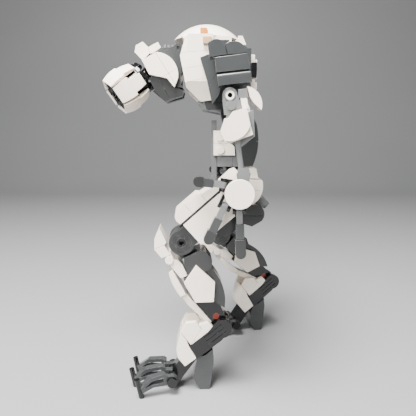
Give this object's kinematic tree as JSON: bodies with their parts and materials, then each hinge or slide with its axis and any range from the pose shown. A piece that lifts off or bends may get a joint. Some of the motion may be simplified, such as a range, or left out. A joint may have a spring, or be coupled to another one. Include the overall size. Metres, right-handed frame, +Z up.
{
  "type": "humanoid robot kit",
  "caption": "Posable humanoid robot figure of studded bricks: petalled head, domed chest, long arms, bent legs and three-clawed feet.",
  "frame": {"origin": "on the floor under the middle of the figure's bounding box", "axes": "+Z up, the figure faces -Y, its left side is +X"},
  "size_m": [0.1304, 0.1226, 0.221],
  "materials": {
    "white_abs": "moulded, glossy",
    "light_grey_abs": "moulded, glossy",
    "mid_grey_abs": "moulded, glossy",
    "dark_grey_abs": "moulded, glossy",
    "black_abs": "moulded, glossy",
    "orange_abs": "moulded, glossy"
  },
  "bodies": {
    "pelvis": {"pelvis_frame": "dark_grey_abs", "pelvis_rear_armour": "white_abs", "pelvis_tail_bricks": "light_grey_abs", "pelvis_glutes": "dark_grey_abs"},
    "abdomen": {"waist_core": "black_abs", "waist_side_bricks": "white_abs", "waist_front_bricks": "light_grey_abs", "waist_back_panels": "mid_grey_abs"},
    "chest": {"chest_frame": "mid_grey_abs", "chest_side_panels": "white_abs", "shoulder_front_panels": "mid_grey_abs", "chest_under_wedges": "light_grey_abs", "dome": "white_abs", "orange_plates": "orange_abs", "chest_back_plate": "white_abs"},
    "neck": {"neck_frame": "mid_grey_abs", "neck_top_bricks": "white_abs", "neck_cheeks": "white_abs", "neck_keel": "dark_grey_abs"},
    "head_ball": {"head_ball": "black_abs"},
    "head": {"head_core": "black_abs", "head_petals": "white_abs"},
    "upper_arm_left": {"upper_arm_left": "mid_grey_abs", "pauldron_left": "mid_grey_abs"},
    "forearm_left": {"forearm_frame_left": "light_grey_abs", "forearm_shells_left": "white_abs"},
    "hand_left": {"palm_left": "black_abs", "hand_disc_left": "white_abs"},
    "finger_front_left": {"finger_front_left": "mid_grey_abs"},
    "finger_middle_left": {"finger_middle_left": "mid_grey_abs"},
    "finger_rear_left": {"finger_rear_left": "mid_grey_abs"},
    "thigh_left": {"thigh_frame_left": "dark_grey_abs", "thigh_armour_left": "white_abs"},
    "shin_left": {"shin_frame_left": "dark_grey_abs", "shin_armour_left": "white_abs"},
    "foot_left": {"foot_frame_left": "black_abs", "foot_armour_left": "white_abs", "foot_heel_left": "mid_grey_abs"},
    "toe_inner_left": {"toe_inner_left": "mid_grey_abs"},
    "toe_middle_left": {"toe_middle_left": "mid_grey_abs"},
    "toe_outer_left": {"toe_outer_left": "mid_grey_abs"},
    "upper_arm_right": {"upper_arm_right": "mid_grey_abs", "pauldron_right": "mid_grey_abs"},
    "forearm_right": {"forearm_frame_right": "light_grey_abs", "forearm_shells_right": "white_abs"},
    "hand_right": {"palm_right": "black_abs", "hand_disc_right": "white_abs"},
    "finger_front_right": {"finger_front_right": "mid_grey_abs"},
    "finger_middle_right": {"finger_middle_right": "mid_grey_abs"},
    "finger_rear_right": {"finger_rear_right": "mid_grey_abs"},
    "thigh_right": {"thigh_frame_right": "dark_grey_abs", "thigh_armour_right": "white_abs"},
    "shin_right": {"shin_frame_right": "dark_grey_abs", "shin_armour_right": "white_abs"},
    "foot_right": {"foot_frame_right": "black_abs", "foot_armour_right": "white_abs", "foot_heel_right": "mid_grey_abs"},
    "toe_inner_right": {"toe_inner_right": "mid_grey_abs"},
    "toe_middle_right": {"toe_middle_right": "mid_grey_abs"},
    "toe_outer_right": {"toe_outer_right": "mid_grey_abs"}
  },
  "joints": [
    {"name": "waist_turn", "type": "hinge", "parent": "pelvis", "child": "abdomen", "pos_m": [0, 0.02311, 0.126], "axis": [0, 0, 1], "range_deg": [-6, 6]},
    {"name": "chest_tilt", "type": "hinge", "parent": "abdomen", "child": "chest", "pos_m": [0, 0.01911, 0.163], "axis": [1, 0, 0], "range_deg": [-10, 9]},
    {"name": "neck_tilt", "type": "hinge", "parent": "chest", "child": "neck", "pos_m": [0, -0.00339, 0.194], "axis": [1, 0, 0], "range_deg": [-5, 18]},
    {"name": "head_turn", "type": "hinge", "parent": "neck", "child": "head_ball", "pos_m": [-0.00185, -0.03447, 0.19108], "axis": [0, 0, 1], "range_deg": [-8, 8]},
    {"name": "head_nod", "type": "hinge", "parent": "head_ball", "child": "head", "pos_m": [-0.00185, -0.03447, 0.19108], "axis": [0.9258, 0.3779, 0], "range_deg": [-8, 8]},
    {"name": "shoulder_left", "type": "hinge", "parent": "chest", "child": "upper_arm_left", "pos_m": [0.039, 0.01781, 0.19], "axis": [-1, 0, 0], "range_deg": [-20, 75]},
    {"name": "elbow_left", "type": "hinge", "parent": "upper_arm_left", "child": "forearm_left", "pos_m": [0.047, 0.01731, 0.1736], "axis": [-1, 0, 0], "range_deg": [-5, 80]},
    {"name": "wrist_left", "type": "hinge", "parent": "forearm_left", "child": "hand_left", "pos_m": [0.055, 0.02421, 0.1306], "axis": [0, -0.1429, 0.9897], "range_deg": [-6, 40]},
    {"name": "finger_front_left_curl", "type": "hinge", "parent": "hand_left", "child": "finger_front_left", "pos_m": [0.058, 0.01393, 0.12611], "axis": [0, 0.1392, 0.9903], "range_deg": [-5, 45]},
    {"name": "finger_middle_left_curl", "type": "hinge", "parent": "hand_left", "child": "finger_middle_left", "pos_m": [0.058, 0.01453, 0.11451], "axis": [0, -0.9063, 0.4226], "range_deg": [-5, 45]},
    {"name": "finger_rear_left_curl", "type": "hinge", "parent": "hand_left", "child": "finger_rear_left", "pos_m": [0.058, 0.02257, 0.1122], "axis": [0, -0.999, -0.0436], "range_deg": [-5, 45]},
    {"name": "hip_left", "type": "hinge", "parent": "pelvis", "child": "thigh_left", "pos_m": [0.0395, 0.02081, 0.119], "axis": [-0.9986, -0.0523, 0], "range_deg": [-45, 15]},
    {"name": "knee_left", "type": "hinge", "parent": "thigh_left", "child": "shin_left", "pos_m": [0.04111, -0.00995, 0.092], "axis": [0.9986, 0.0523, 0], "range_deg": [-28, 20]},
    {"name": "ankle_left", "type": "hinge", "parent": "shin_left", "child": "foot_left", "pos_m": [0.03987, 0.01382, 0.0396], "axis": [-0.9986, -0.0523, 0], "range_deg": [-10, 25]},
    {"name": "toe_inner_left_lift", "type": "hinge", "parent": "foot_left", "child": "toe_inner_left", "pos_m": [0.03345, -0.01656, 0.008], "axis": [-0.9986, -0.0523, 0], "range_deg": [-10, 20]},
    {"name": "toe_middle_left_lift", "type": "hinge", "parent": "foot_left", "child": "toe_middle_left", "pos_m": [0.04144, -0.01614, 0.008], "axis": [-0.9986, -0.0523, 0], "range_deg": [-10, 20]},
    {"name": "toe_outer_left_lift", "type": "hinge", "parent": "foot_left", "child": "toe_outer_left", "pos_m": [0.04942, -0.01572, 0.008], "axis": [-0.9986, -0.0523, 0], "range_deg": [-10, 20]},
    {"name": "shoulder_right", "type": "hinge", "parent": "chest", "child": "upper_arm_right", "pos_m": [-0.039, 0.01781, 0.19], "axis": [-1, 0, 0], "range_deg": [-12, 75]},
    {"name": "elbow_right", "type": "hinge", "parent": "upper_arm_right", "child": "forearm_right", "pos_m": [-0.047, 0.0196, 0.17369], "axis": [-1, 0, 0], "range_deg": [-5, 80]},
    {"name": "wrist_right", "type": "hinge", "parent": "forearm_right", "child": "hand_right", "pos_m": [-0.055, 0.03241, 0.13207], "axis": [0, 0.2792, -0.9602], "range_deg": [-6, 40]},
    {"name": "finger_front_right_curl", "type": "hinge", "parent": "hand_right", "child": "finger_front_right", "pos_m": [-0.058, 0.02286, 0.12619], "axis": [0, 0, -1], "range_deg": [-5, 45]},
    {"name": "finger_middle_right_curl", "type": "hinge", "parent": "hand_right", "child": "finger_middle_right", "pos_m": [-0.058, 0.02507, 0.11479], "axis": [0, 0.9563, -0.2924], "range_deg": [-5, 45]},
    {"name": "finger_rear_right_curl", "type": "hinge", "parent": "hand_right", "child": "finger_rear_right", "pos_m": [-0.058, 0.03335, 0.11362], "axis": [0, 0.9833, 0.1822], "range_deg": [-5, 45]},
    {"name": "hip_right", "type": "hinge", "parent": "pelvis", "child": "thigh_right", "pos_m": [-0.0395, 0.02081, 0.119], "axis": [-0.9659, -0.2588, 0], "range_deg": [-12, 48]},
    {"name": "knee_right", "type": "hinge", "parent": "thigh_right", "child": "shin_right", "pos_m": [-0.03741, 0.01299, 0.07885], "axis": [0.9659, 0.2588, 0], "range_deg": [-12, 32]},
    {"name": "ankle_right", "type": "hinge", "parent": "shin_right", "child": "foot_right", "pos_m": [-0.0483, 0.05365, 0.0396], "axis": [-0.9659, -0.2588, 0], "range_deg": [-28, 3]},
    {"name": "toe_inner_right_lift", "type": "hinge", "parent": "foot_right", "child": "toe_inner_right", "pos_m": [-0.03281, 0.02674, 0.008], "axis": [-0.9659, -0.2588, 0], "range_deg": [-10, 20]},
    {"name": "toe_middle_right_lift", "type": "hinge", "parent": "foot_right", "child": "toe_middle_right", "pos_m": [-0.04054, 0.02467, 0.008], "axis": [-0.9659, -0.2588, 0], "range_deg": [-10, 20]},
    {"name": "toe_outer_right_lift", "type": "hinge", "parent": "foot_right", "child": "toe_outer_right", "pos_m": [-0.04826, 0.0226, 0.008], "axis": [-0.9659, -0.2588, 0], "range_deg": [-10, 20]}
  ]
}
